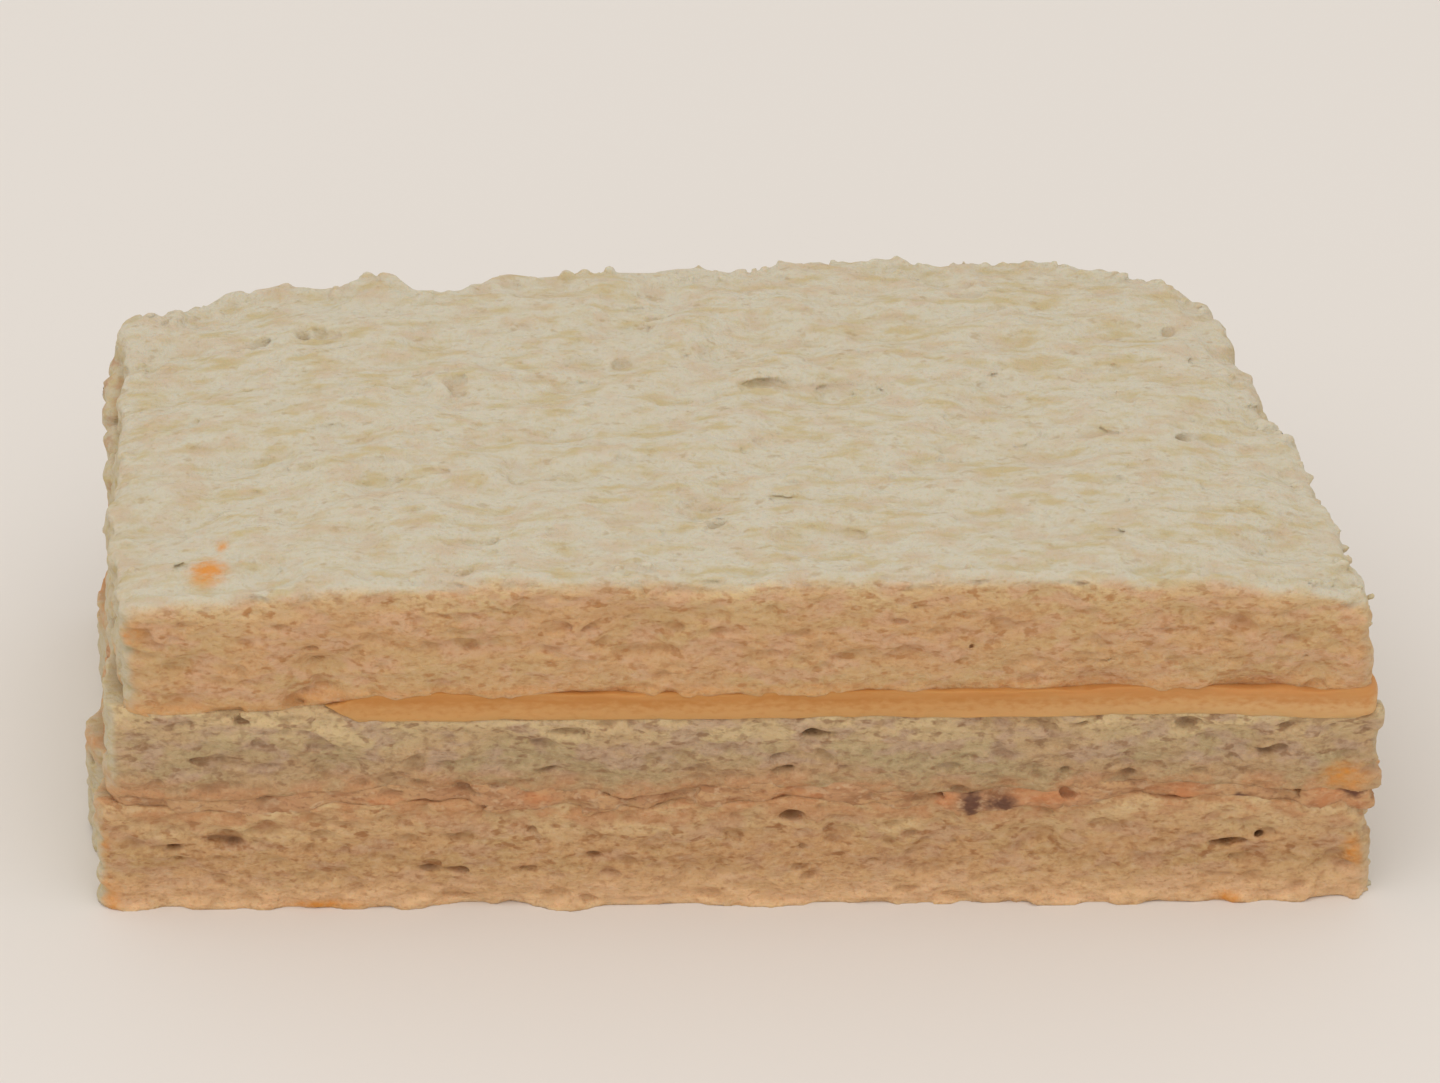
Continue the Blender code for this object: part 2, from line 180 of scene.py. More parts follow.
BOTTOM_SLICE_PORES = (
    (-43.8, 6.9, 1.5, 0.35, 1.2, -0.1),
    (-48.6, 6.3, 1.1, 0.3, 0.9, 0.0),
    (-47.2, 8.4, 1.3, 0.3, 0.7, 0.0),
    (-25.1, 3.9, 1.9, 0.3, 1.2, -0.1),
    (-45.0, 3.1, 0.8, 0.5, 0.8, 0.0),
    (-35.9, 7.8, 1.4, 0.4, 0.6, 0.0),
    (-23.7, 7.2, 0.9, 0.4, 0.7, 0.0),
    (-12.4, 5.3, 0.75, 0.4, 1.3, 0.0),
    (-17.7, 4.0, 1.0, 0.35, 0.7, 0.0),
    (-15.9, 8.6, 1.1, 0.7, 0.7, 0.0),
    (8.9, 6.8, 1.3, 0.8, 1.0, 0.1),
    (15.1, 7.2, 0.9, 0.5, 1.0, 0.0),
    (22.3, 7.0, 1.1, 0.6, 0.8, -0.2),
    (43.1, 6.2, 1.1, 0.35, 1.1, 0.05),
    (45.4, 6.7, 0.6, 0.3, 1.2, 0.1),
    (36.0, 4.5, 1.6, 0.6, 0.6, 0.0),
    (32.2, 3.7, 1.2, 0.6, 0.6, 0.0),
    (49.3, 5.5, 0.8, 0.4, 0.7, 0.2),
    (33.3, 1.3, 0.8, 0.35, 0.8, 0.0),
    (48.3, 1.1, 0.6, 0.3, 0.9, 0.0),
    (5.2, 9.3, 1.2, 0.4, 1.0, 0.0),
)
# The same for the upper face of the top slice: x, y, half length, half width, depth, turn per length
TOP_FACE_PORES = (
    (-36.4, 14.8, 0.8, 0.7, 0.9, 0.0),
    (-38.0, 14.6, 0.8, 0.7, 0.7, 0.0),
    (-43.0, 13.6, 4.5, 0.7, 0.35, 0.1),
    (-50.0, 11.0, 3.0, 0.6, 0.3, 0.25),
    (-24.0, 3.5, 0.9, 1.9, 0.35, 0.2),
    (-12.0, 8.0, 2.2, 1.4, 0.4, 0.1),
    (-9.5, 8.6, 1.0, 0.9, 0.4, 0.0),
    (-6.4, 16.6, 1.2, 0.6, 0.5, 0.2),
    (-1.8, -18.6, 1.4, 0.6, 0.6, 0.0),
    (-22.0, -21.5, 1.6, 0.5, 0.4, 0.0),
    (22.0, 21.0, 1.6, 0.7, 0.5, 0.0),
    (39.5, 14.0, 0.7, 1.0, 0.5, 0.0),
    (41.0, -4.6, 2.6, 0.6, 0.5, 0.3),
    (31.0, -4.4, 3.0, 0.5, 0.35, 0.0),
    (-33.0, -8.0, 2.6, 0.5, 0.3, 0.0),
    (5.0, 4.0, 2.4, 0.5, 0.3, 0.0),
)

# Stains and stuck bits, in millimetres: place, radii
ORANGE_SPOTS = (
    ((-45.1, -23.8, 31.9), (1.4, 2.0, 1.4)),
    ((-44.0, -20.0, 31.9), (0.5, 0.7, 0.6)),
    ((-51.5, -29.0, 28.3), (1.2, 1.0, 1.2)),
    ((42.9, -29.2, 0.4), (1.1, 0.8, 0.8)),
    ((-54.2, -29.0, 1.2), (1.2, 1.0, 1.8)),
    ((-54.8, -29.0, 6.5), (0.9, 0.9, 1.8)),
    ((-36.2, -29.0, 0.4), (3.0, 0.8, 0.5)),
    ((53.0, -28.8, 12.8), (2.0, 1.1, 1.4)),
    ((53.8, -28.8, 4.6), (0.9, 0.8, 1.6)),
)
BROWN_BITS = (
    ((-54.1, 18.5, 27.0), (1.2, 1.5, 1.6)),
    ((-54.3, 15.5, 26.4), (1.6, 1.7, 1.5)),
    ((-54.3, 12.6, 25.6), (1.5, 1.7, 1.6)),
    ((-54.3, 8.8, 25.0), (1.1, 1.8, 1.4)),
    ((-54.2, 3.0, 25.2), (0.9, 2.2, 1.2)),
)
# Dark flesh in the tuna: x, z, half length, half height
DARK_FLESH = (
    (20.5, 10.4, 1.3, 1.3),
    (23.1, 10.3, 1.5, 0.9),
    (53.8, 11.4, 1.4, 0.9),
    (43.6, 10.6, 1.6, 0.5),
    (5.2, 10.2, 1.3, 0.5),
)
# Orange streaks of the tuna: x, z, half length, half height
ORANGE_FLESH = (
    (18.0, 11.0, 1.6, 1.4),
    (27.0, 11.2, 3.6, 1.6),
    (38.6, 11.0, 3.0, 1.4),
    (52.6, 11.4, 3.4, 2.4),
    (5.0, 11.4, 3.6, 0.9),
    (-17.0, 11.2, 3.0, 0.9),
    (-30.5, 11.2, 2.0, 0.9),
)

# How far each slice's left end is moved out, in millimetres, at the cut front and at the back
LEFT_END = {"top_slice": (0.9, 0.3), "middle_slice": (-0.1, -0.1), "bottom_slice": (0.7, 0.5)}
# How far the top slice's back edge is moved back, in millimetres, at each x
BACK_EDGE = (
    (-57.0, 0.0), (-54.0, -0.8), (-51.5, 0.5), (-49.5, 2.2), (-46.0, 1.6), (-42.5, 2.0), (-39.0, 2.2),
    (-35.5, 0.4), (-31.0, -0.2), (-29.3, -1.0), (-28.0, -3.0), (-26.0, -2.6), (-23.6, -1.4), (-21.0, -0.3),
    (-17.0, -1.5), (-6.0, -1.3), (-2.3, 0.0), (1.4, -1.8), (5.0, -0.6), (12.0, -1.4), (16.2, 0.0),
    (20.0, -1.8), (27.0, -1.2), (35.0, -1.6), (42.0, 0.0),
)


def ramp(value, start, end):
    """0 before start and 1 after end, with a smooth step between them."""
    share = np.clip((value - start) / (end - start), 0.0, 1.0)
    return share * share * (3.0 - 2.0 * share)


# Fields on a grid

# Random knots of unit spread give a cubic spline of this spread
SPLINE_SPREAD = (151 / 315) ** 1.5
NOISE_MARGIN = 5 * MM


def spline_taps(wanted, start, spacing, count):
    """The four knots round each wanted place on a line of count knots, and their cubic B-spline weights."""
    u = (np.asarray(wanted) - start) / spacing
    first = np.floor(u).astype(int)
    t = u - first
    weights = (
        (1 - t) ** 3 / 6,
        (3 * t**3 - 6 * t**2 + 4) / 6,
        (-3 * t**3 + 3 * t**2 + 3 * t + 1) / 6,
        t**3 / 6,
    )
    return [(np.clip(first - 1 + i, 0, count - 1), weight.astype(np.float32)) for i, weight in enumerate(weights)]


def spread(knots, starts, spacings, axes):
    """A lattice of knots as a smooth field on the grid that the three axes span.

    It is summed term by term, so that every run gives the same field.
    """
    field = knots.astype(np.float32)
    for axis in range(3):
        shape = [1, 1, 1]
        shape[axis] = -1
        taps = spline_taps(axes[axis], starts[axis], spacings[axis], field.shape[axis])
        field = sum(np.take(field, knot, axis) * weight.reshape(shape) for knot, weight in taps)
    return field


def noise(axes, size, seed):
    """An uneven field of unit spread, the same in all layers, with lumps about as large as size."""
    starts = [low - NOISE_MARGIN for low in LOWEST]
    ends = [high + NOISE_MARGIN for high in HIGHEST]
    counts = [int(math.ceil((end - start) / s)) + 2 for start, end, s in zip(starts, ends, size)]
    knots = np.random.default_rng(seed).standard_normal(counts, dtype=np.float32)
    spans = []
    for i, axis in enumerate(axes):
        first = int((axis[0] - starts[i]) / size[i]) - 1
        spans.append(slice(first, int((axis[-1] - starts[i]) / size[i]) + 3))
        starts[i] += first * size[i]
    return spread(knots[tuple(spans)], starts, size, axes) / SPLINE_SPREAD


def graded_axis(low, high, fine, coarse, fine_depth):
    """Coordinates from low to high, fine for fine_depth at the low end and growing to coarse after it."""
    places = [low]
    while places[-1] < high:
        past = (places[-1] - low - fine_depth) / (4 * fine_depth)
        places.append(places[-1] + fine + (coarse - fine) * min(max(past, 0.0), 1.0))
    return np.array(places)


def even_axis(low, high, step):
    return np.arange(low, high + step, step)


def mend_signs(knots, reach):
    """Turns round the knots, away from the surface, whose sign most of their neighbours don't share."""
    for _ in range(4):
        sign = np.pad(np.sign(knots), 1, mode="edge")
        around = sum(np.roll(sign, step, axis) for axis in range(3) for step in (-1, 1))[1:-1, 1:-1, 1:-1]
        wrong = (np.abs(knots) > reach) & (np.sign(knots) * around < 0)
        knots[wrong] *= -1
    return knots


def distance_to(node, axes, down=0.0, up=0.0):
    """The signed distance to a solid, negative inside it, as a smooth field on the grid.

    The solid may be stretched down and up past its own faces.
    """
    low, high = boxes[node]
    squeeze = (high.z - low.z) / (high.z - low.z + down + up)
    find = solid_trees[node].find_nearest
    starts = [axis[0] - 2 * s for axis, s in zip(axes, FORM_SPACING)]
    counts = [int(math.ceil((axis[-1] - axis[0]) / s)) + 5 for axis, s in zip(axes, FORM_SPACING)]
    xs, ys, zs = (start + s * np.arange(count) for start, s, count in zip(starts, FORM_SPACING, counts))
    zs = low.z + (zs - low.z + down) * squeeze
    knots = np.zeros(counts, np.float32)
    for i, x in enumerate(xs):
        for j, y in enumerate(ys):
            for k, z in enumerate(zs):
                place = Vector((x, y, z))
                nearest, normal, _, distance = find(place)
                knots[i, j, k] = distance if (place - nearest).dot(normal) > 0 else -distance
    knots = mend_signs(knots, 0.6 * max(FORM_SPACING))
    return spread(knots, starts, FORM_SPACING, axes)


def face_height(node, x, upper):
    """The height of a solid's lower or upper face at each x, read along a line just behind the cut."""
    low, high = boxes[node]
    tree = solid_trees[node]
    start_z, way = (high.z + MM, Vector((0, 0, -1))) if upper else (low.z - MM, Vector((0, 0, 1)))
    wanted = np.arange(low.x + 3 * MM, high.x - 3 * MM, MM)
    heights = np.array([tree.ray_cast(Vector((at, low.y + 4 * MM, start_z)), way)[0].z for at in wanted])
    return np.interp(x, wanted, heights)


def smooth_max(one, two, softness):
    gap = np.clip(softness - np.abs(one - two), 0, None) / softness
    return np.maximum(one, two) + gap * gap * softness / 4


def sample(field, axes, points):
    """The field at each point, by linear interpolation."""
    low, share = [], []
    for axis, values in zip(axes, points.T):
        i = np.clip(np.searchsorted(axis, values) - 1, 0, len(axis) - 2)
        low.append(i)
        share.append(np.clip((values - axis[i]) / (axis[i + 1] - axis[i]), 0, 1))
    total = np.zeros(len(points))
    for corner in np.ndindex(2, 2, 2):
        weight = np.prod([s if c else 1 - s for s, c in zip(share, corner)], axis=0)
        total += weight * field[tuple(i + c for i, c in zip(low, corner))]
    return total


def sample_plan(plan, axes, points):
    """A field of x and y at each point, by bilinear interpolation."""
    return sample(np.stack([plan, plan], axis=2), (axes[0], axes[1], np.array([-1.0, 1.0])), points)


def grids(axes):
    """The three axes, shaped so that they spread over the grid."""
    return axes[0][:, None, None], axes[1][None, :, None], axes[2][None, None, :]


# Carving and adding


class Block:
    """A layer's field on its grid, which cells are carved out of and lumps are joined to."""

    def __init__(self, axes, field):
        self.axes = axes
        self.field = field
        self.ruffle = noise(axes, (0.8 * MM, 0.7 * MM, 0.5 * MM), RUFFLE_SEED)

    def lump(self, centre, radii, rise, turn):
        """The part of the grid near a lump, and the distance to the lump there.

        The lump leans by rise in XZ and by turn in XY.
        """
        longest = radii[0] * (abs(rise) + abs(turn))
        spans, offsets = [], []
        for axis, middle, radius, extra in zip(self.axes, centre, radii, (0.0, longest, longest)):
            reach = 1.6 * radius + 0.3 * MM + extra
            first, last = np.searchsorted(axis, (middle - reach, middle + reach))
            spans.append(slice(first, last))
            offsets.append(axis[first:last] - middle)
        span = tuple(spans)
        x, y, z = grids(offsets)
        along = (x + rise * z + turn * y) / radii[0]
        q = np.sqrt(along**2 + ((y - turn * x) / radii[1]) ** 2 + ((z - rise * x) / radii[2]) ** 2)
        return span, (q - 1) * min(radii) + RUFFLE * self.ruffle[span]

    def carve(self, centre, radii, softness, rise=0.0, turn=0.0):
        span, lump = self.lump(centre, radii, rise, turn)
        if lump.size:
            self.field[span] = smooth_max(self.field[span], -lump, softness)

    def add(self, centre, radii, softness, rise=0.0, turn=0.0):
        span, lump = self.lump(centre, radii, rise, turn)
        if lump.size:
            self.field[span] = -smooth_max(-self.field[span], -lump, softness)


def places_near(form, axes, draw, count, deepest, highest, where):
    """count random places whose level in the form lies between the two, kept by the chance where(places)."""
    lows = np.array([axis[0] for axis in axes])
    highs = np.array([axis[-1] for axis in axes])
    found = []
    while sum(map(len, found)) < count:
        places = draw.uniform(lows, highs, size=(8 * count, 3))
        level = sample(form, axes, places)
        good = (level > deepest) & (level < highest)
        good &= draw.uniform(size=len(places)) < where(places)
        found.append(places[good])
    return np.concatenate(found)[:count]


def lean_of(place):
    """How the cells lean: up to the right near the cut's right end, and round the loaf's curve on top."""
    rise = 0.3 * float(ramp(place[0], 15 * MM, 50 * MM))
    turn = 0.1 * float(ramp(-place[0], 10 * MM, 55 * MM)) - 0.08 * float(ramp(place[0], 10 * MM, 55 * MM))
    return rise, turn


# Meshing


def surface_nets(field, axes):
    """Vertices and quads of the surface where the field is 0, with its inside negative."""
    inside = field < 0
    shape = np.array(field.shape)
    owners, points, quads = [], [], []
    for axis in range(3):
        first = [slice(None)] * 3
        second = [slice(None)] * 3
        first[axis], second[axis] = slice(None, -1), slice(1, None)
        start = np.argwhere(inside[tuple(first)] != inside[tuple(second)])
        one, two = (axis + 1) % 3, (axis + 2) % 3
        kept = (start[:, one] > 0) & (start[:, two] > 0)
        kept &= (start[:, one] < shape[one] - 1) & (start[:, two] < shape[two] - 1)
        start = start[kept]
        end = start.copy()
        end[:, axis] += 1
        a, b = field[tuple(start.T)], field[tuple(end.T)]
        share = a / (a - b)
        point = np.stack([axes[d][start[:, d]] for d in range(3)], axis=1)
        point[:, axis] += share * (axes[axis][end[:, axis]] - axes[axis][start[:, axis]])
        around = []
        for back_one, back_two in ((0, 0), (1, 0), (1, 1), (0, 1)):
            cell = start.copy()
            cell[:, one] -= back_one
            cell[:, two] -= back_two
            around.append(np.ravel_multi_index(cell.T, field.shape))
        around = np.stack(around, axis=1)
        outwards = inside[tuple(start.T)]
        around[~outwards] = around[~outwards][:, ::-1]
        quads.append(around)
        owners.append(around.ravel())
        points.append(np.repeat(point, 4, axis=0))
    owners, points, quads = np.concatenate(owners), np.concatenate(points), np.concatenate(quads)
    cells, index = np.unique(owners, return_inverse=True)
    number = np.bincount(index)
    vertices = np.stack([np.bincount(index, weights=points[:, d]) / number for d in range(3)], axis=1)
    return vertices, np.searchsorted(cells, quads)


def largest_piece(vertices, quads):
    """The surface without the specks that carving has cut loose."""
    label = np.arange(len(vertices))
    while True:
        lowest = label[quads].min(axis=1)
        before = label.copy()
        for corner in range(4):
            np.minimum.at(label, quads[:, corner], lowest)
        label = label[label]
        if (label == before).all():
            break
    main_label = np.bincount(label).argmax()
    quads = quads[label[quads[:, 0]] == main_label]
    used = np.unique(quads)
    return vertices[used], np.searchsorted(used, quads)


def mesh_piece(name, field, axes, triangles, material):
    """An object from the surface where the field is 0."""
    vertices, quads = largest_piece(*surface_nets(field, axes))
    mesh = bpy.data.meshes.new(name)
    mesh.vertices.add(len(vertices))
    mesh.vertices.foreach_set("co", vertices.astype(np.float32).ravel())
    mesh.loops.add(quads.size)
    mesh.loops.foreach_set("vertex_index", quads.astype(np.int32).ravel())
    mesh.polygons.add(len(quads))
    mesh.polygons.foreach_set("loop_start", np.arange(0, quads.size, 4, dtype=np.int32))
    mesh.update(calc_edges=True)
    mesh.validate()
    piece = bpy.data.objects.new(name, mesh)
    bpy.context.scene.collection.objects.link(piece)
    thin_out(piece, triangles)
    piece.data.shade_smooth()
    piece.data.materials.append(material)
    return piece


def places_of(piece):
    places = np.empty(3 * len(piece.data.vertices), np.float32)
    piece.data.vertices.foreach_get("co", places)
    return places.reshape(-1, 3).astype(float)


def give_values(piece, values):
    """A float attribute of the piece's vertices for each entry of values."""
    for key, value in values.items():
        attribute = piece.data.attributes.new(key, "FLOAT", "POINT")
        attribute.data.foreach_set("value", np.asarray(value, np.float32))


def thin_out(piece, triangles):
    """Collapses the flattest faces until the piece has about so many triangles."""
    now = sum(len(face.vertices) - 2 for face in piece.data.polygons)
    if now <= triangles:
        return
    fewer = piece.modifiers.new("fewer", "DECIMATE")
    fewer.ratio = triangles / now
    mesh = bpy.data.meshes.new_from_object(piece.evaluated_get(bpy.context.evaluated_depsgraph_get()))
    old = piece.data
    piece.modifiers.clear()
    piece.data = mesh
    bpy.data.meshes.remove(old)
    mesh.name = piece.name


# Materials


class Shader:
    """A Principled material whose colour, roughness and bump are built from nodes."""

    def __init__(self, name):
        self.material = bpy.data.materials.new(name)
        self.material.use_nodes = True
        self.tree = self.material.node_tree
        self.surface = self.tree.nodes["Principled BSDF"]
        self.place = self.add("ShaderNodeTexCoord").outputs["Object"]

    def add(self, kind, **settings):
        node = self.tree.nodes.new(kind)
        for key, value in settings.items():
            setattr(node, key, value)
        return node

    def feed(self, socket, value):
        if isinstance(value, bpy.types.NodeSocket):
            self.tree.links.new(value, socket)
        elif isinstance(value, tuple) and socket.type == "RGBA":
            socket.default_value = (*value, 1.0)
        else:
            socket.default_value = value

    def noise(self, lump, detail=3.0, rough=0.5, shift=0.0):
        """Noise of 0 to 1 with lumps of about the size lump = (x, y, z) in metres."""
        scaled = self.add("ShaderNodeVectorMath", operation="MULTIPLY")
        self.feed(scaled.inputs[0], self.place)
        scaled.inputs[1].default_value = tuple(1 / size for size in lump)
        node = self.add("ShaderNodeTexNoise", noise_dimensions="4D")
        self.feed(node.inputs["Vector"], scaled.outputs["Vector"])
        node.inputs["Scale"].default_value = 1.0
        node.inputs["Detail"].default_value = detail
        node.inputs["Roughness"].default_value = rough
        node.inputs["W"].default_value = shift
        return node.outputs["Fac"]

    def map(self, value, low, high, to_low=0.0, to_high=1.0):
        node = self.add("ShaderNodeMapRange", interpolation_type="SMOOTHSTEP")
        self.feed(node.inputs["Value"], value)
        for key, number in zip(("From Min", "From Max", "To Min", "To Max"), (low, high, to_low, to_high)):
            node.inputs[key].default_value = number
        return node.outputs["Result"]

    def attribute(self, name):
        return self.add("ShaderNodeAttribute", attribute_name=name).outputs["Fac"]

    def mix(self, share, first, second):
        node = self.add("ShaderNodeMix", data_type="RGBA")
        factor, first_colour, second_colour = (node.inputs[i] for i in (0, 6, 7))
        self.feed(factor, share)
        self.feed(first_colour, first)
        self.feed(second_colour, second)
        return node.outputs[2]

    def times(self, first, second, operation="MULTIPLY"):
        node = self.add("ShaderNodeMath", operation=operation)
        self.feed(node.inputs[0], first)
        self.feed(node.inputs[1], second)
        return node.outputs[0]

    def stain(self, name, broken, low, high, most):
        """The share of a stain, from its attribute, with an edge that the noise breaks up."""
        strength = self.times(self.attribute(name), self.map(broken, 0.3, 0.7, 0.7, 1.3))
        return self.map(strength, low, high, 0.0, most)

    def bump(self, *layers):
        """Bumps the normal by each layer of (height field, how far it stands up in metres)."""
        below = None
        for value, distance in layers:
            node = self.add("ShaderNodeBump")
            node.inputs["Distance"].default_value = distance
            self.feed(node.inputs["Height"], value)
            if below is not None:
                self.feed(node.inputs["Normal"], below)
            below = node.outputs["Normal"]
        self.feed(self.surface.inputs["Normal"], below)

    def finish(self, colour, roughness, specular, scatter):
        """Sets the colour and the even values, with scatter as the depth that light spreads to."""
        self.feed(self.surface.inputs["Base Color"], colour)
        self.surface.inputs["Roughness"].default_value = roughness
        self.surface.inputs["Specular IOR Level"].default_value = specular
        if scatter:
            self.surface.inputs["Subsurface Weight"].default_value = 0.3
            self.surface.inputs["Subsurface Radius"].default_value = (1.0, 0.6, 0.35)
            self.surface.inputs["Subsurface Scale"].default_value = scatter
        return self.material


def srgb(red, green, blue):
    """A display colour of 0 to 255 as the linear values that a shader takes."""
    shares = (red / 255, green / 255, blue / 255)
    return tuple(c / 12.92 if c <= 0.04045 else ((c + 0.055) / 1.055) ** 2.4 for c in shares)


# Colours of the crumb. The cut front is browner than the sliced faces, partly the crumb's own tone and partly
# painted shade with warm bounce light.
PALE = srgb(206, 198, 178)
PALE_OCHRE = srgb(196, 178, 136)
PALE_PINK = srgb(202, 181, 155)
SIDE = srgb(200, 187, 160)
# Painted shade of the gas cells and hollows of the sliced faces, darker where they go deeper
PIT_SHADE = srgb(178, 154, 118)
DEEP_PIT_SHADE = srgb(130, 104, 76)
CREST = srgb(214, 184, 148)
UPPER_TINT = srgb(227, 201, 154)
# Painted bounce light from the table, lightening the crumb at its foot
FOOT_BOUNCE_LIGHT = srgb(244, 202, 156)
ORANGE_STAIN = srgb(220, 146, 66)
BROWN_STAIN = srgb(188, 148, 116)
FISH_TINT = srgb(200, 150, 106)
CHEESE_TINT = srgb(220, 164, 108)
CHEESE_LOWER = srgb(210, 158, 98)
# Painted shade along the cheese's upper edge, under the bread
CHEESE_UPPER_SHADE = srgb(194, 132, 68)
CHEESE_FAR_LOWER = srgb(216, 172, 118)
# The same painted shade, far to the right
CHEESE_FAR_UPPER_SHADE = srgb(202, 142, 82)
FISH_TAN = srgb(202, 160, 116)
FISH_ROSE = srgb(196, 150, 110)
FISH_BROWN = srgb(172, 124, 86)
FISH_ORANGE = srgb(214, 142, 92)
FISH_GRAIN = srgb(146, 100, 70)
# Painted shade in the tuna's hollows
FISH_HOLLOW_SHADE = srgb(130, 88, 62)
FISH_DARK = srgb(90, 56, 48)
TABLE = srgb(231, 226, 221)
# The cut face of each slice: its crumb, whose browner tone is partly painted shade with warm bounce light, and
# the painted shade of its gas cells
CUT_COLOURS = {
    "top_slice": {
        "tan": srgb(212, 170, 124), "ochre": srgb(208, 174, 126), "pink": srgb(214, 172, 138),
        "pore_shade": srgb(182, 130, 82), "deep_pore_shade": srgb(130, 84, 48),
    },
    "middle_slice": {
        "tan": srgb(194, 162, 122), "ochre": srgb(186, 164, 124), "pink": srgb(192, 162, 138),
        "pore_shade": srgb(152, 116, 84), "deep_pore_shade": srgb(84, 58, 40),
    },
    "bottom_slice": {
        "tan": srgb(204, 162, 116), "ochre": srgb(200, 164, 116), "pink": srgb(200, 160, 126),
        "pore_shade": srgb(162, 112, 70), "deep_pore_shade": srgb(92, 56, 32),
    },
}


def bread_material(name, tan, ochre, pink, pore_shade, deep_pore_shade):
    """White crumb: pale where it was sliced, and browner on the cut front, partly its own tone and partly painted
    shade with warm bounce light. Its gas cells and hollows, and noise specks that stand for them, are darker as
    painted shade.
    """
    look = Shader(name)
    streaks = look.noise((1.8 * MM, 0.8 * MM, 0.7 * MM), detail=2.0)
    clouds = look.noise((8 * MM, 5 * MM, 4 * MM), detail=2.0, shift=3.0)
    drift = look.noise((3.2 * MM, 2 * MM, 1.6 * MM), detail=2.0, shift=11.0)
    mottle = look.noise((1.0 * MM, 0.8 * MM, 0.6 * MM), detail=2.0, shift=17.0)
    fine = look.noise((0.5 * MM, 0.45 * MM, 0.4 * MM), detail=3.0, rough=0.6, shift=7.0)
    spots = look.noise((1.5 * MM, 0.9 * MM, 0.75 * MM), detail=2.0, shift=29.0)
    blots = look.noise((4.2 * MM, 1.6 * MM, 1.6 * MM), detail=2.5, rough=0.6, shift=23.0)
    level, rim, cut = look.attribute("level"), look.attribute("rim"), look.attribute("cut")

    front = look.mix(look.map(clouds, 0.4, 0.6), ochre, tan)
    upper = look.times(look.attribute("upper"), look.map(clouds, 0.3, 0.7, 0.9, 0.4))
    front = look.mix(upper, front, UPPER_TINT)
    front = look.mix(look.map(drift, 0.48, 0.62, 0.0, 0.75), front, pink)
    # Noise specks in the painted shade colour of the gas cells
    front = look.mix(look.map(streaks, 0.5, 0.68, 0.0, 0.2), front, pore_shade)
    front = look.mix(look.map(mottle, 0.52, 0.66, 0.0, 0.45), front, pore_shade)
    front = look.mix(look.map(spots, 0.57, 0.66, 0.0, 0.75), front, pore_shade)
    front = look.mix(look.map(mottle, 0.48, 0.34, 0.0, 0.3), front, CREST)
    # Painted bounce light from the table at the foot of the slices
    foot = look.times(look.attribute("foot"), look.map(streaks, 0.3, 0.6, 0.9, 0.5))
    front = look.mix(foot, front, FOOT_BOUNCE_LIGHT)

    sliced = look.mix(look.map(blots, 0.46, 0.7, 0.0, 0.9), PALE, PALE_OCHRE)
    sliced = look.mix(look.map(drift, 0.46, 0.7, 0.0, 0.7), sliced, PALE_PINK)
    sliced = look.mix(look.map(fine, 0.48, 0.72, 0.0, 0.5), sliced, PALE_OCHRE)
    # Specks of painted pit shade on the sliced faces
    sliced = look.mix(look.map(spots, 0.6, 0.72, 0.0, 0.5), sliced, PIT_SHADE)
    side = look.mix(look.map(streaks, 0.4, 0.7), SIDE, PALE_OCHRE)

    colour = look.mix(rim, sliced, side)
    # The cut front takes its browner colours: partly the crumb's own tone, partly painted shade with warm bounce
    # light
    colour = look.mix(cut, colour, front)
    fish = look.times(look.attribute("fish"), look.map(drift, 0.35, 0.6, 0.2, 0.9))
    colour = look.mix(fish, colour, FISH_TINT)
    cheese = look.times(look.attribute("cheese"), look.map(streaks, 0.3, 0.7, 0.3, 0.9))
    colour = look.mix(cheese, colour, CHEESE_TINT)
    # Fine specks of painted cell shade on the cut front
    colour = look.mix(look.times(look.map(fine, 0.5, 0.7, 0.05, 0.4), cut), colour, pore_shade)
    colour = look.mix(look.times(look.map(fine, 0.5, 0.34, 0.0, 0.3), cut), colour, CREST)
    # Painted shade: the crumb darkens with its depth below the form, in its gas cells and hollows
    colour = look.mix(look.map(level, -0.1, -0.8, 0.0, 0.5), colour, look.mix(cut, PIT_SHADE, pore_shade))
    colour = look.mix(look.map(level, -0.5, -1.5, 0.0, 0.8), colour, look.mix(cut, DEEP_PIT_SHADE, deep_pore_shade))
    colour = look.mix(look.stain("brown", mottle, 0.3, 0.7, 1.0), colour, BROWN_STAIN)
    colour = look.mix(look.stain("orange", mottle, 0.0, 1.0, 0.95), colour, ORANGE_STAIN)
    look.bump((fine, 0.25 * MM), (mottle, 0.2 * MM))
    return look.finish(colour, 0.92, 0.25, 1.2 * MM)


def cheese_material():
    """Smooth processed cheese, a little deeper in colour along its upper edge as painted shade under the bread.
    """
    look = Shader("cheese")
    smears = look.noise((9 * MM, 3 * MM, 0.8 * MM), detail=2.0)
    grain = look.noise((0.9 * MM, 0.8 * MM, 0.5 * MM), detail=3.0, shift=5.0)
    level = look.times(look.attribute("level"), look.map(grain, 0.3, 0.7, -0.2, 0.2), "ADD")
    # Painted shade: the cheese darkens towards its upper edge, under the top slice
    near = look.mix(look.map(level, 0.15, 0.95), CHEESE_LOWER, CHEESE_UPPER_SHADE)
    far = look.mix(look.map(level, 0.15, 0.95), CHEESE_FAR_LOWER, CHEESE_FAR_UPPER_SHADE)
    colour = look.mix(look.attribute("far"), near, far)
    colour = look.mix(look.map(smears, 0.4, 0.7, 0.0, 0.4), colour, CHEESE_LOWER)
    # Grain specks in the painted shade colour
    colour = look.mix(look.map(grain, 0.5, 0.75, 0.0, 0.25), colour, CHEESE_UPPER_SHADE)
    look.bump((grain, 0.06 * MM), (smears, 0.1 * MM))
    return look.finish(colour, 0.65, 0.3, 1.5 * MM)


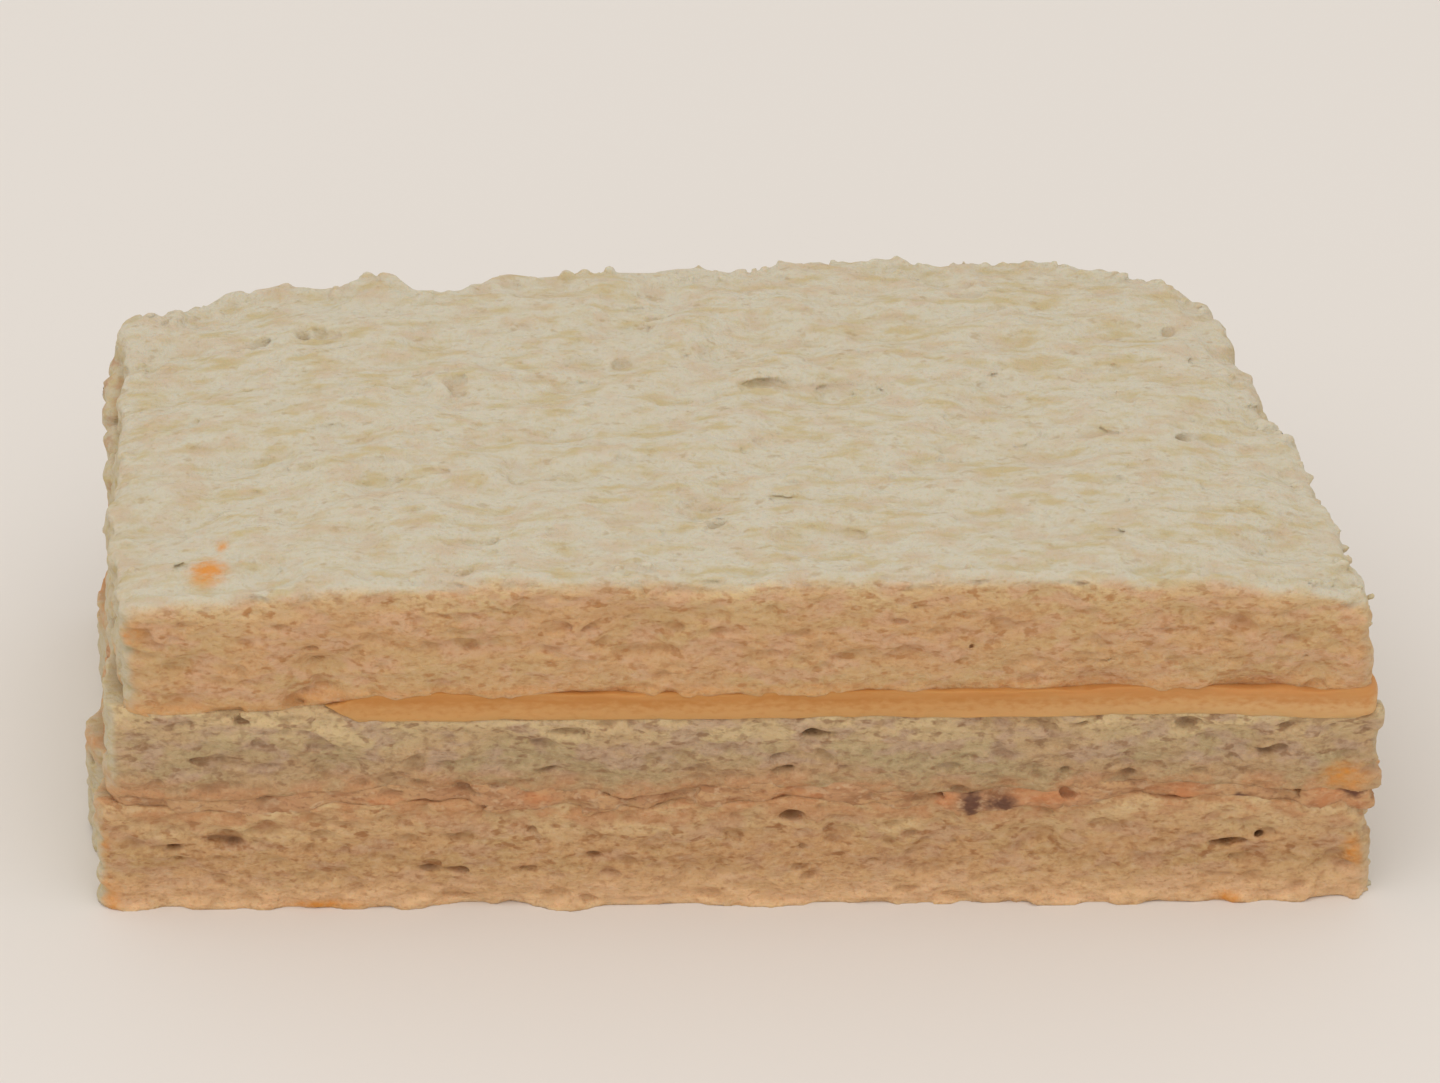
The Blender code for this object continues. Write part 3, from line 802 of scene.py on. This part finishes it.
def tuna_material():
    """Flaked tuna in sauce, near the crumb in colour: tan and pinkish, with orange and dark flesh."""
    look = Shader("tuna")
    flakes = look.noise((1.8 * MM, 1.0 * MM, 0.7 * MM), detail=3.0)
    clouds = look.noise((6 * MM, 4 * MM, 3 * MM), detail=2.0, shift=2.0)
    mottle = look.noise((1.0 * MM, 0.8 * MM, 0.6 * MM), detail=2.0, shift=17.0)
    fine = look.noise((0.5 * MM, 0.4 * MM, 0.35 * MM), detail=3.0, shift=9.0)
    colour = look.mix(look.map(clouds, 0.4, 0.6), FISH_TAN, FISH_ROSE)
    colour = look.mix(look.map(flakes, 0.48, 0.62, 0.0, 0.8), colour, FISH_BROWN)
    colour = look.mix(look.map(mottle, 0.46, 0.36, 0.0, 0.5), colour, CREST)
    colour = look.mix(look.map(fine, 0.5, 0.7, 0.0, 0.45), colour, FISH_GRAIN)
    # Painted shade: the tuna darkens with its depth below the form
    colour = look.mix(look.map(look.attribute("level"), -0.1, -0.8, 0.0, 0.7), colour, FISH_HOLLOW_SHADE)
    colour = look.mix(look.stain("orange", flakes, 0.2, 1.0, 0.6), colour, FISH_ORANGE)
    colour = look.mix(look.stain("dark", mottle, 0.25, 0.75, 0.85), colour, FISH_DARK)
    look.bump((fine, 0.2 * MM), (flakes, 0.2 * MM))
    return look.finish(colour, 0.8, 0.3, 0.8 * MM)


def plain_material(name, colour, roughness):
    look = Shader(name)
    return look.finish(colour, roughness, 0.3, 0.0)


# Pieces


def spot_strength(places, spots):
    """How near each place is to the middle of a spot: 1 there, 0.4 at its radius and 0 well outside it."""
    strength = np.zeros(len(places))
    for centre, radii in spots:
        q = np.linalg.norm((places / MM - centre) / radii, axis=1)
        strength = np.maximum(strength, np.clip(1.0 - 0.6 * q, 0.0, 1.0))
    return strength


def layer_axes(node):
    """The three axes of a layer's grid."""
    low, high = boxes[node]
    reach = CHEESE_REACH if node == "cheese_slice" else 0.0
    return (
        even_axis(low.x - MARGIN - reach, high.x + MARGIN, FINE_X),
        graded_axis(low.y - MARGIN, high.y + MARGIN, CUT_Y, FAR_Y, CUT_DEPTH + MARGIN),
        even_axis(low.z - MARGIN, high.z + MARGIN, FINE_Z),
    )


def layer_form(node, axes):
    """The form of a layer, stretched past its seams and sliced off at the knife cut.

    With it comes how deep each place of the plan lies inside the layer, at half its height.
    """
    low, high = boxes[node]
    forward = FORWARD[node] * (1.0 - ramp(axes[1], *(CUT_PLANE + past for past in FORWARD_FADE)))
    along = axes[0]
    if node == "cheese_slice":
        along = along + CHEESE_REACH * (1.0 - ramp(along, *(low.x + past for past in REACH_FADE)))
    up = 0.0 if node == "top_slice" else STRETCH
    form = distance_to(node, (along, axes[1] + forward, axes[2]), STRETCH, up)
    inner = -form[:, :, np.searchsorted(axes[2], (low.z + high.z) / 2)]
    _, y, _ = grids(axes)
    return smooth_max(form, CUT_PLANE - y, 0.25 * MM).astype(np.float32), inner


def seam(number, axes):
    """The height of a seam over the plan. Seam 0 is the lowest, and seams 2 and 3 join left of the cheese."""
    x = axes[0]
    height = (face_height(LAYERS[number], x, True) + face_height(LAYERS[number + 1], x, False)) / 2
    if number > 1:
        shut = (face_height("middle_slice", x, True) + face_height("top_slice", x, False)) / 2
        start, full = (boxes["cheese_slice"][0].x + past for past in CHEESE_END)
        height = shut + (height - shut) * ramp(x, start, full)
    stray = noise((x, axes[1], np.zeros(1)), (1.8 * MM, 1.8 * MM, MM), SEAM_SEED + number)
    return height[:, None, None] + SEAM_STRAY[number] * stray


def trim(field, axes, node):
    """Cuts the stretched layer back to its seams, and at the table."""
    _, _, z = grids(axes)
    number = LAYERS.index(node)
    if node != "top_slice":
        field = np.maximum(field, z - seam(number, axes) - OVERLAPS[number])
    if node != "bottom_slice":
        field = np.maximum(field, seam(number - 1, axes) - OVERLAPS[number - 1] - z)
    return np.maximum(field, -z).astype(np.float32)


def facing(form, axes, places, way):
    """1 where the form's face looks the given way, and 0 elsewhere. The way is the step that tells."""
    step = max(abs(part) for part in way)
    return ramp(sample(form, axes, places + way) - sample(form, axes, places), 0.35 * step, 0.8 * step)


def crumb_relief(axes, rim, top_face):
    """The crumb's relief: fine on the rim and the top face, with hollows, and ragged on the torn sides."""
    x, y, _ = grids(axes)
    torn = rim * ramp(y, CUT_PLANE + 1.2 * MM, CUT_PLANE + 3.0 * MM)
    torn = torn * (0.3 + 0.7 * ramp(x, LOWEST[0] + 2.0 * MM, LOWEST[0] + 5.0 * MM))
    coarse = noise(axes, (1.4 * MM, 0.8 * MM, 0.7 * MM), COARSE_SEED)
    fine = noise(axes, (0.7 * MM, 0.5 * MM, 0.42 * MM), FINE_SEED)
    hollows = noise(axes, (1.2 * MM, 1.0 * MM, 0.6 * MM), HOLLOW_SEED)
    ragged = noise(axes, (1.8 * MM, 1.6 * MM, 1.4 * MM), RAGGED_SEED)
    tatters = noise(axes, (0.8 * MM, 0.8 * MM, 0.7 * MM), TATTER_SEED)
    rim_relief = 0.05 * coarse + 0.06 * fine + 0.35 * np.clip(hollows - 0.8, 0, 1.2)
    top_relief = 0.02 * coarse + 0.05 * fine
    torn_relief = 0.25 + 0.1 * ragged + 0.15 * tatters
    return MM * (rim * (1 - top_face) * rim_relief + top_face * top_relief + torn * torn_relief)


def front_pores():
    """The gas cells of the whole cut front: the large ones of the tables, and many small ones."""
    draw = np.random.default_rng(11)
    pores = list(TOP_SLICE_PORES + MIDDLE_SLICE_PORES + BOTTOM_SLICE_PORES)
    for _ in range(SMALL_PORES):
        place = [draw.uniform(least, most) for least, most in zip(LOWEST, HIGHEST)]
        across = 0.25 * draw.lognormal(0.0, 0.35)
        sizes = [across * draw.uniform(*span) for span in ((1.0, 2.2), (0.8, 1.3), (0.5, 1.3))]
        pores.append((place[0] / MM, place[2] / MM, *sizes, lean_of(place)[0] + draw.normal(0, 0.12)))
    return pores


def carve_front(block, pores):
    """Carves the cells of the cut front that lie within the block."""
    for pore_x, pore_z, half_length, half_height, depth, rise in pores:
        if block.axes[2][0] < pore_z * MM < block.axes[2][-1]:
            radii = np.array((half_length, 0.8 * depth, half_height)) * MM
            block.carve((pore_x * MM, CUT_PLANE, pore_z * MM), radii, 0.32 * MM, rise)


def carve_sides(block, form, draw, where):
    """Carves small cells into the sides of a slice."""
    for place in places_near(form, block.axes, draw, SIDE_CELLS, -0.3 * MM, 0.05 * MM, where):
        across = 0.32 * MM * draw.lognormal(0.0, 0.35)
        radii = across * np.array([draw.uniform(1.2, 2.4), draw.uniform(0.9, 1.3), draw.uniform(0.6, 0.95)])
        block.carve(place, radii, 0.2 * MM, draw.normal(0, 0.15))


def carve_top(block, form, draw, where, top_face):
    """Carves small shallow cells into the top face."""
    for place in places_near(form, block.axes, draw, TOP_CELLS, -0.1 * MM, 0.12 * MM, where):
        radii = MM * np.array([draw.uniform(0.7, 2.2), draw.uniform(0.25, 0.5), draw.uniform(0.12, 0.22)])
        _, turn = lean_of(place)
        block.carve(place, radii, 0.2 * MM, 0.0, turn + draw.normal(0, 0.08))
    deepest = np.minimum(block.field, form + TOP_CELL_DEPTH)
    block.field = np.where(top_face > 0.5, deepest, block.field)


def mark_top(block, form):
    """Carves the large cells of the top face, and joins the browned bits to the left end."""
    axes = block.axes
    for pore_x, pore_y, half_length, half_width, depth, turn in TOP_FACE_PORES:
        column = form[np.searchsorted(axes[0], pore_x * MM), np.searchsorted(axes[1], pore_y * MM)]
        surface = axes[2][np.flatnonzero(column < 0)[-1]]
        radii = np.array((half_length, half_width, depth)) * MM
        block.carve((pore_x * MM, pore_y * MM, surface), radii, 0.2 * MM, 0.0, turn)
    for centre, radii in BROWN_BITS:
        block.add(np.array(centre) * MM, np.array(radii) * MM, 0.6 * MM)


def add_tufts(block, form, draw, where):
    """Joins small tufts of crumb to the torn sides."""
    for place in places_near(form, block.axes, draw, TUFTS, -0.25 * MM, 0.02 * MM, where):
        radii = 0.22 * MM * draw.lognormal(0.0, 0.3) * np.array([1.3, 1.0, 0.9])
        block.add(place, radii, 0.3 * MM, draw.normal(0, 0.3), draw.normal(0, 0.3))


def spread_foot(block, rim):
    """Widens the foot of the bottom slice into uneven tufts on the table."""
    _, _, z = grids(block.axes)
    tufts = np.clip(noise(block.axes, (1.6 * MM, 1.2 * MM, 1.0 * MM), FOOT_SEED), -0.6, 2.0)
    block.field -= rim * MM * (0.12 + 0.22 * tufts) * (1.0 - ramp(z, 0.3 * MM, 1.5 * MM))


def give_crumb_values(piece, places, form, axes, node):
    """What the crumb's material reads: depth, which it paints as shade in the cells and hollows, faces, nearness
    to the other layers, height over the table, which it paints as bounce light at the foot, and stains.
    """
    is_top = node == "top_slice"
    upward = facing(form, axes, places, (0, 0, 1.4 * MM)) * is_top
    sliced = upward * ramp(places[:, 1], CUT_PLANE - 0.4 * MM, CUT_PLANE + 1.1 * MM)
    left = facing(form, axes, places, (-0.45 * MM, 0, 0))
    right = facing(form, axes, places, (MM, 0, 0))
    near_cut = 1.0 - ramp(places[:, 1], CUT_PLANE + 1.5 * MM, CUT_PLANE + 2.6 * MM)
    above_base = places[:, 2] - face_height(node, places[:, 0], False)
    below_top = face_height(node, places[:, 0], True) - places[:, 2]
    from_fish = {"top_slice": np.ones(len(places)), "middle_slice": above_base, "bottom_slice": below_top}
    give_values(piece, {
        # level, the depth below the form, sets the painted shade of the cells and hollows
        "level": np.clip(sample(form, axes, places) / MM, -3, 0.5),
        "rim": 1.0 - upward,
        "cut": near_cut * (1 - sliced) * (1 - left) * (1 - 0.4 * right),
        "fish": 1.0 - ramp(from_fish[node], 0.0, 2.5 * MM),
        "cheese": (1.0 - ramp(above_base, 0.1 * MM, 1.4 * MM)) * is_top,
        "upper": 1.0 - ramp(below_top, 0.5 * MM, 4.0 * MM),
        # foot, the nearness to the table, sets the painted bounce light
        "foot": 1.0 - ramp(places[:, 2], 0.2 * MM, 5.0 * MM),
        "orange": spot_strength(places, ORANGE_SPOTS),
        "brown": spot_strength(places, BROWN_BITS),
    })


def bread_slice(node, seed, pores):
    """The open crumb of one slice, over the form of its solid."""
    draw = np.random.default_rng(seed)
    top = boxes[node][1].z
    axes = layer_axes(node)
    form, inner = layer_form(node, axes)
    _, _, z = grids(axes)
    is_top = node == "top_slice"

    rim = (1.0 - ramp(inner, 2.0 * MM, 3.2 * MM))[:, :, None]
    top_face = ramp(z, top - 5.0 * MM, top - 3.5 * MM) * is_top
    block = Block(axes, (form + crumb_relief(axes, rim, top_face)).astype(np.float32))

    def side_share(points):
        rim_share = 1.0 - ramp(sample_plan(inner, axes, points), 1.5 * MM, 2.5 * MM)
        return rim_share * (points[:, 1] > CUT_PLANE + 2 * MM)

    def torn_share(points):
        return side_share(points) * (points[:, 0] > LOWEST[0] + 4 * MM)

    def top_share(points):
        return ramp(points[:, 2], top - 4.0 * MM, top - 3.5 * MM)

    carve_sides(block, form, draw, side_share)
    if is_top:
        carve_top(block, form, draw, top_share, top_face)
    carve_front(block, pores)
    if is_top:
        mark_top(block, form)
    add_tufts(block, form, draw, torn_share)
    if node == "bottom_slice":
        spread_foot(block, rim)

    material = bread_material(node.replace("slice", "crumb"), **CUT_COLOURS[node])
    piece = mesh_piece("crumb_" + node, trim(block.field, axes, node), axes, TRIANGLES[node], material)
    places = places_of(piece)
    give_crumb_values(piece, places, form, axes, node)
    settle(piece, places, node)
    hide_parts(node)
    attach(piece, "root")
    return piece


def settle(piece, places, node):
    """Eases a slice's left end, and the top slice's back edge, to where the photograph shows them."""
    x, y = places[:, 0] / MM, places[:, 1] / MM
    front, back = LEFT_END[node]
    places[:, 0] -= (front + (back - front) * ramp(y, -8.0, 8.0)) * MM * (1.0 - ramp(x, -55.0, -42.0))
    if node == "top_slice":
        places[:, 1] += MM * np.interp(x, *zip(*BACK_EDGE)) * ramp(y, 8.0, 27.0)
    piece.data.vertices.foreach_set("co", places.astype(np.float32).ravel())
    piece.data.update()


def cheese_piece():
    """The cheese slice, smooth where the knife cut it, pressed flat between the two slices of bread."""
    axes = layer_axes("cheese_slice")
    form, _ = layer_form("cheese_slice", axes)
    field = form + 0.03 * MM * noise(axes, (6 * MM, 4 * MM, 1.5 * MM), COARSE_SEED)
    field += 0.012 * MM * noise(axes, (1.2 * MM, 1.0 * MM, 0.5 * MM), FINE_SEED)
    field = trim(field, axes, "cheese_slice")
    piece = mesh_piece("cheese", field, axes, TRIANGLES["cheese_slice"], cheese_material())
    places = places_of(piece)
    lower = face_height("cheese_slice", places[:, 0], False)
    upper = face_height("cheese_slice", places[:, 0], True)
    give_values(piece, {
        # level, the height across the cheese, sets its painted shade
        "level": (places[:, 2] - lower) / (upper - lower),
        "far": ramp(places[:, 0], 15 * MM, 45 * MM),
    })
    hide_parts("cheese_slice")
    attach(piece, "root")


def tuna_piece(pores):
    """The thin spread of tuna, with its flakes showing between the slices of bread."""
    draw = np.random.default_rng(31)
    axes = layer_axes("tuna_filling")
    form, inner = layer_form("tuna_filling", axes)
    rim = (1.0 - ramp(inner, 1.0 * MM, 1.6 * MM))[:, :, None]
    block = Block(axes, (form + crumb_relief(axes, rim, np.zeros_like(rim))).astype(np.float32))
    carve_front(block, pores)

    def rim_share(points):
        return 1.0 - ramp(sample_plan(inner, axes, points), 0.3 * MM, 0.5 * MM)

    for place in places_near(form, axes, draw, FLAKES, -0.2 * MM, 0.1 * MM, rim_share):
        radii = 0.22 * MM * draw.lognormal(0.0, 0.35) * np.array([1.8, 0.8, 0.7])
        block.add(place, radii, 0.2 * MM, draw.normal(0, 0.3), draw.normal(0, 0.3))
    field = trim(block.field, axes, "tuna_filling")
    piece = mesh_piece("tuna", field, axes, TRIANGLES["tuna_filling"], tuna_material())
    places = places_of(piece)
    give_values(piece, {
        # level, the depth below the form, sets the painted shade of the hollows
        "level": np.clip(sample(form, axes, places) / MM, -3, 0.5),
        "orange": spot_strength(places, cut_spots(ORANGE_FLESH)),
        "dark": spot_strength(places, cut_spots(DARK_FLESH)),
    })
    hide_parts("tuna_filling")
    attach(piece, "root")


def cut_spots(table):
    """Spots on the cut front, from their x, z, half length and half height."""
    return [((at, CUT_PLANE / MM, up), (long, 2.0, high)) for at, up, long, high in table]


# Scene


def camera():
    """The photograph's view of the cut front."""
    low, _ = boxes["bottom_slice"]
    foot = Vector((0.0, low.y, 0.0))
    focal_pixels = PIXELS_PER_METRE * CAMERA_DISTANCE
    level = math.cos(VIEW_DOWN)
    ahead = Vector((math.sin(VIEW_TURN) * level, math.cos(VIEW_TURN) * level, -math.sin(VIEW_DOWN)))
    right = Vector((math.cos(VIEW_TURN), -math.sin(VIEW_TURN), 0))
    up = right.cross(ahead)
    across = (FRONT_FOOT_PIXEL[0] - PHOTO_WIDTH / 2) / focal_pixels
    along = -(FRONT_FOOT_PIXEL[1] - PHOTO_HEIGHT / 2) / focal_pixels
    data = bpy.data.cameras.new("camera")
    data.sensor_width = 36.0
    data.lens = data.sensor_width * focal_pixels / PHOTO_WIDTH
    made = bpy.data.objects.new("camera", data)
    made.location = foot - CAMERA_DISTANCE * (ahead + across * right + along * up)
    made.rotation_euler = (math.pi / 2 - VIEW_DOWN, 0, -VIEW_TURN)
    bpy.context.scene.collection.objects.link(made)
    bpy.context.scene.camera = made


def area_light(name, place, size, watts, colour):
    data = bpy.data.lights.new(name, "AREA")
    data.size = size
    data.energy = watts
    data.color = colour
    light = bpy.data.objects.new(name, data)
    light.location = place
    light.rotation_euler = (-Vector(place)).to_track_quat("-Z", "Y").to_euler()
    bpy.context.scene.collection.objects.link(light)


def lights():
    """A bright even room, with a broad soft light from above and in front."""
    area_light("window", WINDOW_PLACE, WINDOW_SIZE, WINDOW_WATTS, WARM_WHITE)
    world = bpy.data.worlds.new("world")
    world.use_nodes = True
    background = world.node_tree.nodes["Background"]
    background.inputs["Color"].default_value = (*WARM_WHITE, 1.0)
    background.inputs["Strength"].default_value = ROOM_LIGHT
    bpy.context.scene.world = world
    bpy.context.scene.view_settings.view_transform = "Standard"


def floor():
    """The pale table."""
    mesh = bpy.data.meshes.new("floor")
    half = FLOOR_SIZE / 2
    corners = [(-half, -half, 0), (half, -half, 0), (half, half, 0), (-half, half, 0)]
    mesh.from_pydata(corners, [], [(0, 1, 2, 3)])
    mesh.materials.append(plain_material("floor", TABLE, 0.9))
    plane = bpy.data.objects.new("floor", mesh)
    bpy.context.scene.collection.objects.link(plane)


def main():
    camera()
    lights()
    floor()
    pores = front_pores()
    top = bread_slice("top_slice", 1, pores)
    middle = bread_slice("middle_slice", 2, pores)
    bottom = bread_slice("bottom_slice", 3, pores)
    cheese_piece()
    tuna_piece(pores)


main()
